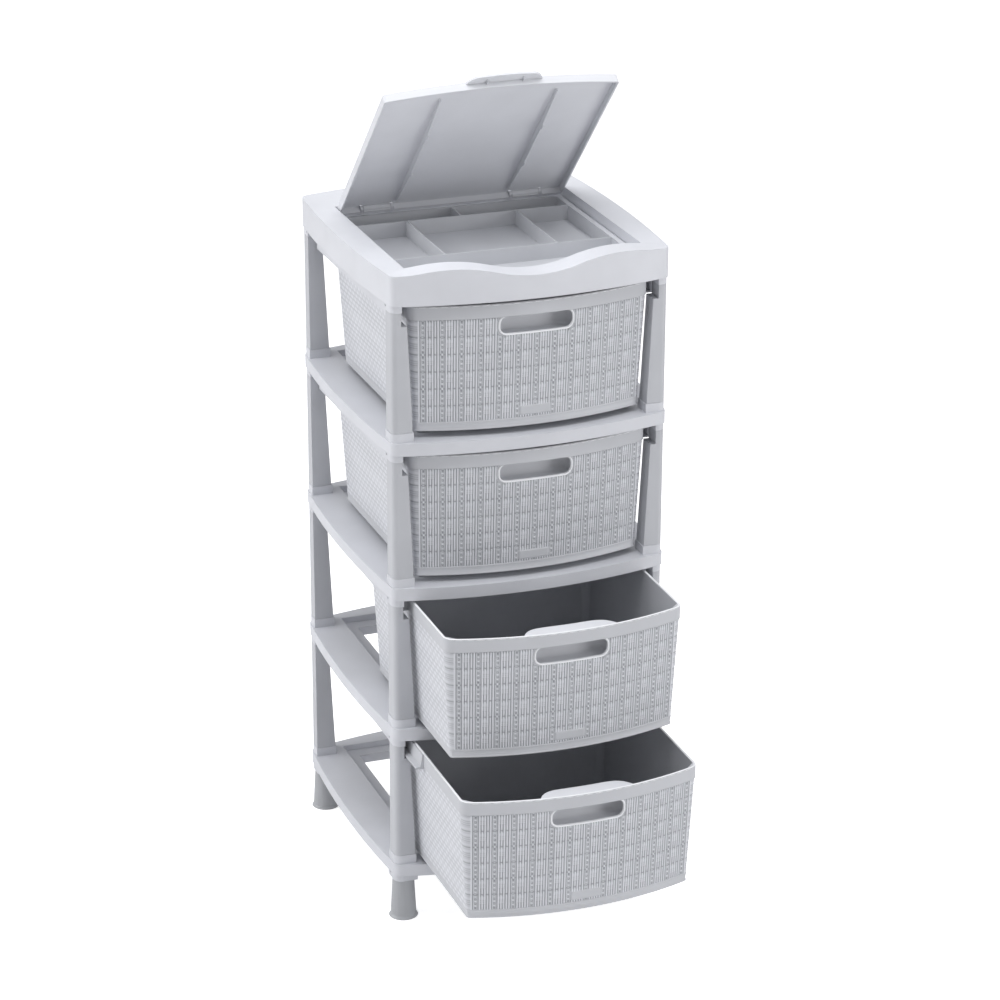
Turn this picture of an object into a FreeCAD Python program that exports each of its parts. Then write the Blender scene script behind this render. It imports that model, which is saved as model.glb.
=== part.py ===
import FreeCAD, Part
import math
import os
import re
import Sketcher
from FreeCAD import Placement, Rotation, Vector

# Plastic tower of four pull-out drawers under a lidded organiser top.
# Millimetres, +Z up, the drawers open towards -Y, the floor is at Z zero.
# The origin lies on the floor under the middle of the tower as it stands at rest:
# lid half open, third and fourth drawers pulled out.

DRAWERS = 4

# Driving dimensions, one row each: name, value, what it measures.
SIZES = [
    # Whole tower
    ("width", 400, "over the corner posts, left to right"),
    ("depth", 404, "over the corner posts, front to back"),
    ("tier", 212, "height of one storey"),
    ("base_height", 70, "floor to the rim of the lowest shelf"),
    ("front_bow", 28, "outward bow of the front and rear rims"),
    ("side_bow", 10, "outward bow of the side rims"),
    ("corner_radius", 12, "upright outer corners of the rims"),
    ("skin", 3, "wall of the moulded shelves and top"),
    ("overrun", 5, "how far a cutting solid runs past a face"),
    # Shelf
    ("rim_height", 18, "outer rim of a shelf"),
    ("opening_width", 304, "central opening, left to right"),
    ("opening_front", 172, "front edge of the opening, from the middle"),
    ("opening_rear", 195, "rear edge of the opening, from the middle"),
    ("step_drop", 9, "ledge below the shelf's top face"),
    ("ledge_width", 19, "ledge at the sides"),
    ("ledge_depth", 23, "ledge at front and back"),
    ("hem_drop", 4, "inner hem below the outer rim"),
    # Corner blocks that hold the posts
    ("collar_up", 13, "block above the shelf's top face"),
    ("collar_down", 10, "block below the rim"),
    ("block_width", 31, "block across the front"),
    ("block_depth", 29, "block along the side"),
    ("neck_width", 15.5, "block and post beside a drawer's rim"),
    ("socket_wall", 4.6, "wall round a socket"),
    ("socket_depth", 9, "depth of a socket"),
    ("latch_radius", 1.8, "latch hole in the side of a block"),
    ("latch_sides", 8, "flat sides of that hole"),
    ("latch_depth", 3, "depth of that hole"),
    ("latch_inset", 24.5, "latch hole from the front or back face"),
    ("latch_drop", 4, "latch hole below the rim"),
    # Rails moulded under the side rims
    ("rail_web", 2.5, "upright wall of a rail"),
    ("rail_depth", 29, "rail below the rim"),
    ("rail_foot", 7, "inward foot of a rail"),
    ("rail_foot_thick", 2.3, "thickness of the foot"),
    # Posts
    ("post_inset", 1, "post behind the face of its block"),
    ("post_width_low", 28.5, "lower end, left to right"),
    ("post_width_high", 21.5, "under the shoulder, left to right"),
    ("post_depth_low", 27, "lower end, front to back"),
    ("post_depth_high", 25.5, "under the shoulder, front to back"),
    ("post_round", 8, "outer upright edge"),
    ("post_wall", 2.6, "wall of the hollow post"),
    ("shoulder_drop", 29.6, "shoulder below the rim above"),
    ("plug_clear", 0.3, "clearance of a plug in its socket"),
    ("plug_gap", 0.5, "room at the end of a socket"),
    # Feet
    ("foot_top_radius", 15.5, "top of a foot"),
    ("foot_low_radius", 18.5, "just above the flare"),
    ("foot_flare_radius", 21, "flare on the floor"),
    ("foot_flare_height", 4, "height of the flare"),
    ("foot_block", 33, "square block that holds a foot"),
    ("foot_plug_radius", 10, "plug of a foot"),
    ("foot_flutes", 24, "flat flutes round a foot"),
    ("plug_sides", 12, "flat sides of a foot's plug"),
    # Top frame
    ("top_height", 42, "outer rim of the top"),
    ("hump_rise", 7, "crests of the front rim"),
    ("scoop_drop", 9, "finger scoop below the top face"),
    ("crest_half", 118, "crests from the middle"),
    ("well_half", 171, "half width of the well under the lid"),
    ("well_front", 175, "front edge of the well, at its corners"),
    ("well_rear", 136, "rear edge of the well"),
    ("well_bow", 16, "bow of the well's front edge"),
    ("well_drop", 17, "ledge of the well below the top face"),
    ("well_ledge", 6, "width of that ledge"),
    # Organiser tray
    ("tray_clear", 1.5, "gap between tray flange and well"),
    ("tray_body_clear", 2, "gap between tray body and ledge"),
    ("tray_flange", 2, "thickness of the tray's flange"),
    ("tray_depth", 24, "height of the tray"),
    ("tray_wall", 2, "walls and floor of the tray"),
    ("row_front", 84, "wall in front of the middle row"),
    ("row_rear", 83, "wall behind the middle row"),
    ("divider_half", 82, "side dividers of the middle row"),
    # Lid
    ("hinge_y", 127, "hinge axis behind the middle"),
    ("hinge_drop", 4, "hinge axis below the top face"),
    ("lid_half", 168.5, "half width of the lid"),
    ("lid_front", 173, "front corners of the lid, when shut"),
    ("lid_rear", 2, "rear edge of the lid behind the axis"),
    ("lid_bow", 15, "bow of the lid's front edge"),
    ("lid_rise", 2, "shut lid above the top face"),
    ("lid_plate", 3, "thickness of the lid's panel"),
    ("lid_rim", 12, "height of the lid's rim"),
    ("lid_wall", 2.5, "thickness of the lid's rim"),
    ("lip_half", 56, "half width of the finger lip, where it leaves the rim"),
    ("lip_flat", 43, "half width of its nearly straight front"),
    ("lip_reach", 15, "finger lip in front of the rim"),
    ("lip_bow", 3, "bow of its front"),
    ("lip_thick", 3.4, "thickness of the finger lip"),
    ("lip_rib_x", 26, "ribs under the lip, from the middle"),
    ("lip_rib", 1.6, "thickness of those ribs"),
    ("lip_rib_height", 3, "height of those ribs"),
    ("fin_x", 84, "fins under the lid, from the middle"),
    ("fin_thick", 2.2, "thickness of a fin"),
    ("fin_height", 11.5, "depth of a fin under the panel, at its teeth"),
    ("fin_low", 9, "depth of a fin elsewhere"),
    ("fin_tooth", 9, "length of a tooth"),
    ("fin_setback", 18, "fin behind the lid's front corner"),
    ("open_angle", 45.5, "lid at rest, degrees from shut"),
    # Hinges
    ("hinge_x", 112, "middle of each hinge"),
    ("barrel_length", 40, "lid barrel"),
    ("barrel_radius", 4, "lid barrel and lugs"),
    ("lug_thick", 4, "lug on the top frame"),
    ("lug_gap", 0.6, "side play between lug and barrel"),
    ("pin_radius", 1.5, "hinge pin"),
    ("pin_play", 0.06, "running clearance of the pin in the barrel"),
    ("pin_fit", 0.02, "clearance of the pin in its lugs"),
    ("bore_sides", 12, "flats of each bore for a pin"),
    # Drawers
    ("drawer_inset", 27.5, "band inside the outer faces of the posts"),
    ("drawer_setback", 7, "shut front corner behind the posts"),
    ("drawer_length", 337, "front corner to rear"),
    ("drawer_bow", 30, "bow of the front"),
    ("drawer_drop", 5, "top edge under the rim above"),
    ("drawer_height", 180, "height of a drawer"),
    ("band_height", 19, "plain band round the top edge"),
    ("band_proud", 2, "band in front of the woven wall"),
    ("tub_taper", 9, "narrowing of each wall, top to bottom"),
    ("drawer_wall", 2.5, "wall and floor of a drawer"),
    ("drawer_round", 14, "upright corners of a drawer, under the band"),
    ("cavity_chamfer", 7, "cut-off front corners inside a drawer"),
    ("skirt_top", 4, "side skirt beyond the wall, at the top"),
    ("skirt_low", 6.5, "side skirt beyond the wall, above its foot"),
    ("skirt_foot", 13.5, "foot of the skirt beyond the wall"),
    ("skirt_foot_thick", 2.5, "thickness of the skirt's foot"),
    ("skirt_setback", 160, "skirt behind the front corner"),
    ("rail_play", 0.4, "running gap over the rail"),
    ("slot_width", 104, "handle slot"),
    ("slot_height", 25, "handle slot"),
    ("slot_round", 10, "corners of the handle slot"),
    ("slot_drop", 31, "middle of the slot below the top edge"),
    ("pulled_3", 144, "third drawer at rest"),
    ("pulled_4", 211, "fourth drawer at rest"),
]

doc = FreeCAD.newDocument("DrawerTower")
sheet = doc.addObject("Spreadsheet::Sheet", "Sizes")
for row, (name, number, note) in enumerate(SIZES, start=1):
    sheet.set("A%d" % row, name)
    sheet.set("B%d" % row, str(number))
    sheet.set("C%d" % row, note)
    sheet.setAlias("B%d" % row, name)
doc.recompute()

NAMES = {name for name, number, note in SIZES}
PLANES = {
    "XY": Rotation(),
    "XZ": Rotation(Vector(1, 0, 0), 90),
    "YZ": Rotation(Vector(1, 1, 1), 120),
}
OFFSETS = {"XY": "z", "XZ": "y", "YZ": "x"}


def formula(text):
    """The same formula with each size written as a cell of the sheet."""
    return re.sub(r"[a-z]\w*", lambda m: "Sizes." + m.group() if m.group() in NAMES else m.group(), text)


def value(text):
    return float(sheet.evalExpression(formula(text)))


def bind(thing, **formulas):
    for path, text in formulas.items():
        thing.setExpression(path.replace("__", "."), formula(text))
    return thing


# Building blocks, each bound to the sheet

def box(name, x, y, z):
    """Box between two formulas along each axis."""
    solid = doc.addObject("Part::Box", name)
    for path, side, (low, high) in (("x", "Length", x), ("y", "Width", y), ("z", "Height", z)):
        bind(solid, **{"Placement__Base__" + path: low, side: "(%s) - (%s)" % (high, low)})
    return solid


def outline(name, corners, bows=None, plane="XY", offset="0"):
    """Closed sketch through the corners, anticlockwise, each side straight or bowed, outwards where positive."""
    sketch = doc.addObject("Sketcher::SketchObject", name)
    sketch.Placement = Placement(Vector(), PLANES[plane])
    bind(sketch, **{"Placement__Base__" + OFFSETS[plane]: offset})
    count = len(corners)
    bows = bows or ["0"] * count
    points = [Vector(value(x), value(y), 0) for x, y in corners]
    for side, bow in enumerate(bows):
        start, end = points[side], points[(side + 1) % count]
        rise = value(bow)
        if rise:
            along = end - start
            middle = (start + end) * 0.5 + Vector(along.y, -along.x, 0).normalize() * rise
            sketch.addGeometry(Part.Arc(start, middle, end), False)
        else:
            sketch.addGeometry(Part.LineSegment(start, end), False)
    # An arc that bends inwards runs the other way round, so its ends change places
    ends = [(2, 1) if value(bow) < 0 else (1, 2) for bow in bows]
    for side, (x, y) in enumerate(corners):
        following = (side + 1) % count
        sketch.addConstraint(Sketcher.Constraint("Coincident", side, ends[side][1], following, ends[following][0]))
        for kind, text, number in (("DistanceX", x, points[side].x), ("DistanceY", y, points[side].y)):
            index = sketch.addConstraint(Sketcher.Constraint(kind, -1, 1, side, ends[side][0], number))
            sketch.setExpression("Constraints[%d]" % index, formula(text))
        if value(bows[side]):
            next_x, next_y = corners[following]
            chord = "(((%s) - (%s))^2 + ((%s) - (%s))^2)" % (next_x, x, next_y, y)
            radius = "abs((%s / 4 + (%s)^2) / (2 * (%s)))" % (chord, bows[side], bows[side])
            index = sketch.addConstraint(Sketcher.Constraint("Radius", side, value(radius)))
            sketch.setExpression("Constraints[%d]" % index, formula(radius))
    return sketch


def plan(name, half, front, rear, bows, height):
    """Level outline, the same on both sides of the middle, with front and rear edges at two Y."""
    corners = [("-(%s)" % half, front), (half, front), (half, rear), ("-(%s)" % half, rear)]
    return outline(name, corners, bows, "XY", height)


def extrude(name, sketch, length):
    solid = doc.addObject("Part::Extrusion", name)
    solid.Base = sketch
    solid.DirMode = "Normal"
    solid.Solid = True
    return bind(solid, LengthFwd=length)


def loft(name, sections):
    solid = doc.addObject("Part::Loft", name)
    solid.Sections = sections
    solid.Solid = True
    solid.Ruled = True
    return solid


def join(kind, name, things):
    result = doc.addObject("Part::Multi" + kind, name)
    result.Shapes = things
    return result


def fuse(name, *things):
    return join("Fuse", name, list(things))


def common(name, *things):
    return join("Common", name, list(things))


def cut(name, base, *tools):
    result = doc.addObject("Part::Cut", name)
    result.Base = base
    result.Tool = tools[0] if len(tools) == 1 else fuse(name + "_tools", *tools)
    return result


def mirror(name, source, normal):
    result = doc.addObject("Part::Mirroring", name)
    result.Source = source
    result.Normal = normal
    return result


def both_sides(source):
    return [source, mirror(source.Name + "_right", source, Vector(1, 0, 0))]


def four_corners(source):
    pair = both_sides(source)
    return pair + [mirror(thing.Name + "_rear", thing, Vector(0, 1, 0)) for thing in pair]


def round_edges(name, base, wanted):
    """Fillet on the edges that wanted(edge) gives a radius for."""
    doc.recompute()
    result = doc.addObject("Part::Fillet", name)
    result.Base = base
    radii = [(index, wanted(edge)) for index, edge in enumerate(base.Shape.Edges, start=1)]
    result.Edges = [(index, radius, radius) for index, radius in radii if radius]
    return result


def runs_along(edge, axis, share=0.9):
    """True for an edge that runs mainly along the axis."""
    ends = edge.Vertexes
    if len(ends) < 2:
        return False
    run = ends[1].Point - ends[0].Point
    return abs(run.dot(axis)) > share * edge.Length


def upright(radius):
    return lambda edge: value(radius) if runs_along(edge, Vector(0, 0, 1)) else 0


NODES = {}
ORIGIN_SHIFT = "(depth / 2 - drawer_setback + drawer_bow + pulled_4 - depth / 2 - front_bow) / 2"


def node(label, source, x="0", y="0", z="0"):
    """Named sub-part: the source's shape, placed by formulas, in the part's own frame."""
    doc.recompute()
    part = doc.addObject("Part::Feature", label)
    part.Label = label
    part.Shape = source.Shape
    part.Placement = Placement(Vector(), source.Placement.Rotation)
    bind(part, Placement__Base__x=x, Placement__Base__y="(%s) + %s" % (y, ORIGIN_SHIFT), Placement__Base__z=z)
    NODES[label] = part
    return part


# Mouldings of the frame

def rim(name, top, inset="0", low="0"):
    """Solid within the bowed rim outline, from low to top."""
    bows = ["front_bow", "side_bow", "front_bow", "side_bow"]
    edge = plan(name + "_plan", "width / 2 - (%s)" % inset, "-(depth / 2 - (%s))" % inset,
                "depth / 2 - (%s)" % inset, bows, low)
    return extrude(name, edge, "(%s) - (%s)" % (top, low))


def corner_box(name, across, along, low, high):
    """Box in the front left corner, its outer upright edge rounded like the rim."""
    block = box(name + "_box", ("-width / 2", "-width / 2 + " + across),
                ("-depth / 2", "-depth / 2 + " + along), (low, high))

    def outer(edge):
        is_outer = edge.CenterOfMass.x < value("-width / 2 + plug_clear")
        is_front = edge.CenterOfMass.y < value("-depth / 2 + plug_clear")
        return value("corner_radius") if is_outer and is_front and runs_along(edge, Vector(0, 0, 1)) else 0

    return round_edges(name, block, outer)


def socket(name, across, along, low, high):
    """Hollow in a corner block for the plug of a post."""
    return box(name, ("-width / 2 + socket_wall", "-width / 2 + %s - socket_wall" % across),
               ("-depth / 2 + socket_wall", "-depth / 2 + %s - socket_wall" % along), (low, high))


def latch_hole(name):
    """Blind hole in the side of a corner block."""
    hole = doc.addObject("Part::Prism", name)
    hole.Placement = Placement(Vector(), Rotation(Vector(0, 1, 0), 90))
    return bind(hole, Polygon="latch_sides", Circumradius="latch_radius", Height="overrun + latch_depth",
                Placement__Base__x="-width / 2 - overrun", Placement__Base__y="-depth / 2 + latch_inset",
                Placement__Base__z="-latch_drop")


FOOT_X, FOOT_Y = "-width / 2 + foot_block / 2", "-depth / 2 + foot_block / 2"


def foot_peg(name, radius, low, height):
    """Many-sided peg on the axis of the front left foot."""
    peg = doc.addObject("Part::Prism", name)
    return bind(peg, Polygon="plug_sides", Circumradius=radius, Height=height, Placement__Base__x=FOOT_X,
                Placement__Base__y=FOOT_Y, Placement__Base__z=low)


def rail(name, top):
    """L-shaped rail under the left side rim; a drawer's skirt slides on its foot."""
    inner = "-width / 2 + neck_width"
    web = box(name + "_web", (inner + " - rail_web", inner),
              ("-depth / 2 + block_depth", "depth / 2 - block_depth"), ("-rail_depth", top))
    foot = box(name + "_foot", (inner + " - rail_web", inner + " + rail_foot"),
               ("-depth / 2 + block_depth", "depth / 2 - block_depth"),
               ("-rail_depth", "-rail_depth + rail_foot_thick"))
    return fuse(name, web, foot)


def shelf(name, carries_drawer):
    """Bowed ring with a sunk ledge round its opening and a block at each corner."""
    tag = name + "_"
    slab = round_edges(tag + "slab", rim(tag + "rim", "rim_height"), upright("corner_radius"))
    hollow = rim(tag + "hollow", "rim_height - skin", "skin", "-overrun")

    def window(part, grow, low, high, ledge="0"):
        """Box the size of the opening, grown by a length, or shrunk by the ledge as many times as given."""
        x = "opening_width / 2 + (%s) - %s * ledge_width" % (grow, ledge)
        front, rear = ("%s + (%s) - %s * ledge_depth" % (edge, grow, ledge) for edge in ("opening_front", "opening_rear"))
        return box(tag + part, ("-(%s)" % x, x), ("-(%s)" % front, rear), (low, high))

    walls = window("walls", "skin", "-overrun", "rim_height")
    opening = window("opening", "0", "-overrun", "rim_height + overrun")
    ring = cut(tag + "ring", slab, cut(tag + "cavity", hollow, walls), opening)
    ledge = window("ledge", "skin", "rim_height - step_drop - skin", "rim_height - step_drop")
    hem = window("hem", "skin", "-hem_drop", "rim_height - step_drop", "1")
    ledge_hole = window("ledge_hole", "0", "-hem_drop - overrun", "rim_height", "1")
    step = cut(tag + "step", fuse(tag + "step_solid", ledge, hem), ledge_hole)

    block = corner_box(tag + "block", "block_width", "block_depth", "0", "rim_height + collar_up")
    upper = socket(tag + "socket", "block_width", "block_depth",
                   "rim_height + collar_up - socket_depth", "rim_height + collar_up + overrun")
    pieces = [ring, step] + four_corners(block)
    tools = four_corners(upper)
    if carries_drawer:
        neck = corner_box(tag + "neck", "neck_width", "block_depth", "-collar_down", "rim_height")
        lower = socket(tag + "neck_socket", "neck_width", "block_depth",
                       "-collar_down - overrun", "-collar_down + socket_depth")
        pieces += four_corners(neck) + both_sides(rail(tag + "rail", "rim_height"))
        tools += four_corners(lower) + four_corners(latch_hole(tag + "latch"))
    else:
        foot_block = corner_box(tag + "foot_block", "foot_block", "foot_block", "-collar_down", "rim_height - skin")
        bore = foot_peg(tag + "foot_socket", "foot_plug_radius + plug_clear", "-collar_down - overrun",
                        "socket_depth + overrun")
        pieces += four_corners(foot_block)
        tools += four_corners(bore) + four_corners(latch_hole(tag + "latch"))
    return cut(name, fuse(tag + "solid", *pieces), *tools)


def swell(run, rise):
    """Bow of each half of an S-shaped slope that starts and ends level."""
    chord = "((%s)^2 + (%s)^2) / 4" % (run, rise)
    radius = "(%s / (%s))" % (chord, rise)
    return "(%s - sqrt(%s^2 - %s / 4))" % (radius, radius, chord)


def brow(name, low, reach, lowered):
    """Solid of the front land, its top following the crests and the finger scoop."""
    face = "top_height - (%s)" % lowered
    outer, inner = swell("width / 2 - crest_half", "hump_rise"), swell("crest_half", "hump_rise + scoop_drop")
    slope = [("width / 2", face), ("(width / 2 + crest_half) / 2", face + " + hump_rise / 2"),
             ("crest_half", face + " + hump_rise"), ("crest_half / 2", face + " + (hump_rise - scoop_drop) / 2"),
             ("0", face + " - scoop_drop")]
    bows = ["-" + outer, outer, inner, "-" + inner]
    far = "(width / 2 + side_bow + overrun)"
    corners = [("-" + far, low), (far, low), (far, face)] + slope
    corners += [("-(%s)" % x, z) for x, z in slope[-2::-1]] + [("-" + far, face)]
    profile = outline(name + "_profile", corners, ["0", "0", "0"] + bows + bows[::-1] + ["0", "0"], "XZ",
                      "-well_front")
    return extrude(name, profile, reach)


def well(name, grow, low, high):
    """Solid that fills the well under the lid, grown outwards or inwards."""
    edge = plan(name + "_plan", "well_half + (%s)" % grow, "-(well_front + (%s))" % grow,
                "well_rear + (%s)" % grow, ["well_bow", "0", "0", "0"], low)
    return extrude(name, edge, "(%s) - (%s)" % (high, low))


def hinge_rod(name, x, length, radius, y="0", z="0"):
    """Rod along X, centred on x."""
    rod = doc.addObject("Part::Cylinder", name)
    rod.Placement = Placement(Vector(), Rotation(Vector(0, 1, 0), 90))
    return bind(rod, Radius=radius, Height=length, Placement__Base__x="%s - (%s) / 2" % (x, length),
                Placement__Base__y=y, Placement__Base__z=z)


def hinge_bore(name, x, length, radius, y="0", z="0"):
    """Many-sided hole along X, centred on x, whose flats lie at the radius."""
    bore = doc.addObject("Part::Prism", name)
    bore.Placement = Placement(Vector(), Rotation(Vector(0, 1, 0), 90))
    return bind(bore, Polygon="bore_sides", Circumradius="(%s) / cos(180 deg / bore_sides)" % radius, Height=length,
                Placement__Base__x="%s - (%s) / 2" % (x, length), Placement__Base__y=y, Placement__Base__z=z)


LUG_OFFSET = "(barrel_length / 2 + lug_gap + lug_thick / 2)"
PIN_LENGTH = "(barrel_length + 2 * lug_gap + 2 * lug_thick)"


def lug(name, x):
    """Hinge lug on the rear wall of the well."""
    axis_z = "top_height - hinge_drop"
    eye = hinge_rod(name + "_eye", x, "lug_thick", "barrel_radius", "hinge_y", axis_z)
    arm = box(name + "_arm", ("%s - lug_thick / 2" % x, "%s + lug_thick / 2" % x),
              ("hinge_y", "well_rear + skin"), (axis_z + " - barrel_radius", axis_z + " + barrel_radius"))
    return fuse(name, eye, arm)


def top_frame():
    """Deep bowed top with a well for the tray and a scoop in its front rim."""
    crown = "top_height + hump_rise + overrun"
    slab = round_edges("top_slab", rim("top_rim", crown), upright("corner_radius"))
    reach = "front_bow + overrun + depth / 2 - well_front"
    land = brow("top_brow", "0", reach, "0")
    behind = box("top_behind", ("-width / 2 - side_bow - overrun", "width / 2 + side_bow + overrun"),
                 ("-well_front", "depth / 2 + front_bow + overrun"), ("0", "top_height"))
    body = common("top_body", slab, fuse("top_envelope", land, behind))

    hollow = rim("top_hollow", crown, "skin", "-overrun")
    under_brow = brow("top_under_brow", "-overrun", reach, "skin")
    under_behind = box("top_under_behind", ("-width / 2", "width / 2"), ("-well_front", "depth / 2 + front_bow"),
                       ("-overrun", "top_height - skin"))
    cavity = cut("top_cavity", common("top_cavity_body", hollow, fuse("top_under", under_brow, under_behind)),
                 well("top_well_walls", "skin", "top_height - well_drop - skin", crown))
    ledge_hole = well("top_ledge_hole", "-well_ledge", "-overrun", crown)
    opening = well("top_opening", "0", "top_height - well_drop", crown)

    block = corner_box("top_block", "block_width", "block_depth", "0", "top_height - skin")
    neck = corner_box("top_neck", "neck_width", "block_depth", "-collar_down", "top_height - skin")
    lower = socket("top_socket", "neck_width", "block_depth", "-collar_down - overrun",
                   "-collar_down + socket_depth")
    lugs = []
    bores = []
    for side in ("-", ""):
        for turn in ("-", "+"):
            x = "%shinge_x %s %s" % (side, turn, LUG_OFFSET)
            lugs.append(lug("lug_%d" % len(lugs), x))
        bores.append(hinge_bore("lug_bore_%d" % len(bores), side + "hinge_x", PIN_LENGTH + " + overrun",
                                "pin_radius + pin_fit", "hinge_y", "top_height - hinge_drop"))
    shell = cut("top_shell", body, cavity, opening, ledge_hole)
    solid = fuse("top_solid", shell, *(four_corners(block) + four_corners(neck)
                                       + both_sides(rail("top_rail", "top_height - skin")) + lugs))
    return cut("top_done", solid, *(four_corners(lower) + four_corners(latch_hole("top_latch")) + bores))


def organizer_tray():
    """Shallow tray of six compartments that hangs in the well by its flange."""
    top = "top_height - well_drop + tray_flange"
    inset = "(well_ledge + tray_body_clear)"
    half, rear = "well_half - " + inset, "well_rear - " + inset
    bows = ["well_bow", "0", "0", "0"]
    flange = well("tray_flange_plate", "-tray_clear", "top_height - well_drop", top)
    body = well("tray_body", "-" + inset, top + " - tray_depth", top)
    rows = {
        "middle": ("-row_front + tray_wall / 2", "row_rear - tray_wall / 2"),
        "rear": ("row_rear + tray_wall / 2", rear + " - tray_wall"),
    }
    outer = half + " - tray_wall"
    left, right = "-(%s)" % outer, outer
    strip_plan = plan("tray_strip_plan", outer, "-(well_front - %s - tray_wall)" % inset,
                      "-row_front - tray_wall / 2", bows, top + " - tray_depth + tray_wall")
    strip = extrude("tray_front_strip", strip_plan, "tray_depth + overrun")
    cells = [
        ("middle_left", (left, "-divider_half - tray_wall / 2"), "middle"),
        ("middle_centre", ("-divider_half + tray_wall / 2", "divider_half - tray_wall / 2"), "middle"),
        ("middle_right", ("divider_half + tray_wall / 2", right), "middle"),
        ("rear_left", (left, "-tray_wall / 2"), "rear"),
        ("rear_right", ("tray_wall / 2", right), "rear"),
    ]
    pockets = [box("tray_" + name, across, rows[row], (top + " - tray_depth + tray_wall", top + " + overrun"))
               for name, across, row in cells]
    return cut("tray_done", fuse("tray_solid", flange, body), strip, *pockets)


def lid():
    """Panel with a rim, two fins and a finger lip; its own origin is on the hinge axis."""
    top, low = "hinge_drop + lid_rise", "hinge_drop + lid_rise - lid_rim"
    under = top + " - lid_plate"
    front = "-(lid_front + hinge_y)"
    bows = ["lid_bow", "0", "0", "0"]
    shell = extrude("lid_shell", plan("lid_plan", "lid_half", front, "lid_rear", bows, low), "lid_rim")
    rounded = round_edges("lid_rounded", shell, upright("barrel_radius"))
    hollow = extrude("lid_hollow", plan("lid_inner", "lid_half - lid_wall", front + " + lid_wall",
                                        "lid_rear - lid_wall", bows, low + " - overrun"),
                     "lid_rim - lid_plate + overrun")
    panel = cut("lid_panel", rounded, hollow)
    lip_rear = front + " - lid_bow / 2"
    lip_front = front + " - lid_bow - lip_reach + lip_bow"
    lip_edge = outline("lip_plan", [
        ("-lip_half", lip_rear), ("-lip_flat", lip_front), ("lip_flat", lip_front), ("lip_half", lip_rear),
        ("lip_half", lip_rear + " + lid_bow"), ("-lip_half", lip_rear + " + lid_bow")],
        ["lip_bow", "lip_bow", "lip_bow", "0", "0", "0"], "XY", top + " - lip_thick")
    lip = extrude("lid_lip", lip_edge, "lip_thick")
    ribs = both_sides(box("lip_rib", ("-lip_rib_x - lip_rib / 2", "-lip_rib_x + lip_rib / 2"),
                          (front + " - lid_bow - lip_reach / 2", front + " - lid_bow / 2"),
                          (top + " - lip_thick - lip_rib_height", top + " - lip_thick / 2")))
    fin_front, fin_rear = front + " + fin_setback", "-barrel_radius * 3"
    first, second = front + " * 2 / 3", front + " / 3"
    deep, shallow = under + " - fin_height", under + " - fin_low"
    fin_edge = outline("fin_plan", [
        (fin_front, under + " + lid_plate / 2"), (fin_front, under + " - fin_low / 2"),
        (first, shallow), (first, deep), (first + " + fin_tooth", deep), (first + " + fin_tooth", shallow),
        (second, shallow), (second, deep), (second + " + fin_tooth", deep), (second + " + fin_tooth", shallow),
        (fin_rear, under + " - fin_low / 3"), (fin_rear, under + " + lid_plate / 2")],
        None, "YZ", "-fin_x - fin_thick / 2")
    fins = both_sides(extrude("lid_fin", fin_edge, "fin_thick"))
    barrels, bores, notches = [], [], []
    for side in ("-", ""):
        tag = "%d" % len(barrels)
        x = side + "hinge_x"
        barrels.append(hinge_rod("barrel_" + tag, x, "barrel_length", "barrel_radius"))
        bores.append(hinge_bore("barrel_bore_" + tag, x, "barrel_length + overrun", "pin_radius + pin_play"))
        for turn in ("-", "+"):
            place = "%s %s %s" % (x, turn, LUG_OFFSET)
            reach = "(lug_thick / 2 + lug_gap)"
            notches.append(box("lid_notch_%s_%d" % (tag, len(notches)), (place + " - " + reach, place + " + " + reach),
                               ("-barrel_radius - lug_gap", "lid_rear + overrun"),
                               (low + " - overrun", top + " + overrun")))
    solid = fuse("lid_solid", panel, lip, *(ribs + fins + barrels))
    return cut("lid_done", solid, *(bores + notches))


def post():
    """Hollow tapered front left post with a shoulder for the drawer's skirt and a plug at each end."""
    start = "rim_height + collar_up"
    left, front = "-width / 2 + post_inset", "-depth / 2 + post_inset"

    def outer(edge):
        is_outer = edge.CenterOfMass.x < value(left + " + post_inset")
        is_front = edge.CenterOfMass.y < value(front + " + post_inset")
        return value("post_round") if is_outer and is_front and runs_along(edge, Vector(0, 0, 1)) else 0

    shaft = doc.addObject("Part::Wedge", "post_shaft")
    shaft.Placement = Placement(Vector(), Rotation(Vector(1, 0, 0), 90))
    bind(shaft, Xmin=left, Xmax=left + " + post_width_low", X2min=left, X2max=left + " + post_width_high",
         Ymin=start, Ymax="tier - shoulder_drop", Zmin="-(%s) - post_depth_low" % front, Zmax="-(%s)" % front,
         Z2min="-(%s) - post_depth_high" % front, Z2max="-(%s)" % front)
    neck = box("post_neck", (left, left + " + neck_width - 2 * post_inset"), (front, front + " + post_depth_high"),
               ("tier - shoulder_drop", "tier - collar_down"))
    bore = box("post_bore", ("-width / 2 + socket_wall + plug_clear + post_wall", left + " + post_width_high - post_wall"),
               ("-depth / 2 + socket_wall + plug_clear + post_wall",
                "-depth / 2 + block_depth - socket_wall - plug_clear - post_wall"),
               (start + " - socket_depth - overrun", "tier - shoulder_drop - post_wall"))

    def plug(name, across, low, high):
        return box(name, ("-width / 2 + socket_wall + plug_clear",
                          "-width / 2 + %s - socket_wall - plug_clear" % across),
                   ("-depth / 2 + socket_wall + plug_clear",
                    "-depth / 2 + block_depth - socket_wall - plug_clear"), (low, high))

    low_plug = plug("post_low_plug", "block_width", start + " - socket_depth + plug_gap", start)
    high_plug = plug("post_high_plug", "neck_width", "tier - collar_down",
                     "tier - collar_down + socket_depth - plug_gap")
    solid = fuse("post_solid", round_edges("post_shaft_round", shaft, outer),
                 round_edges("post_neck_round", neck, outer), low_plug, high_plug)
    return cut("post_done", solid, bore)


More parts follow.
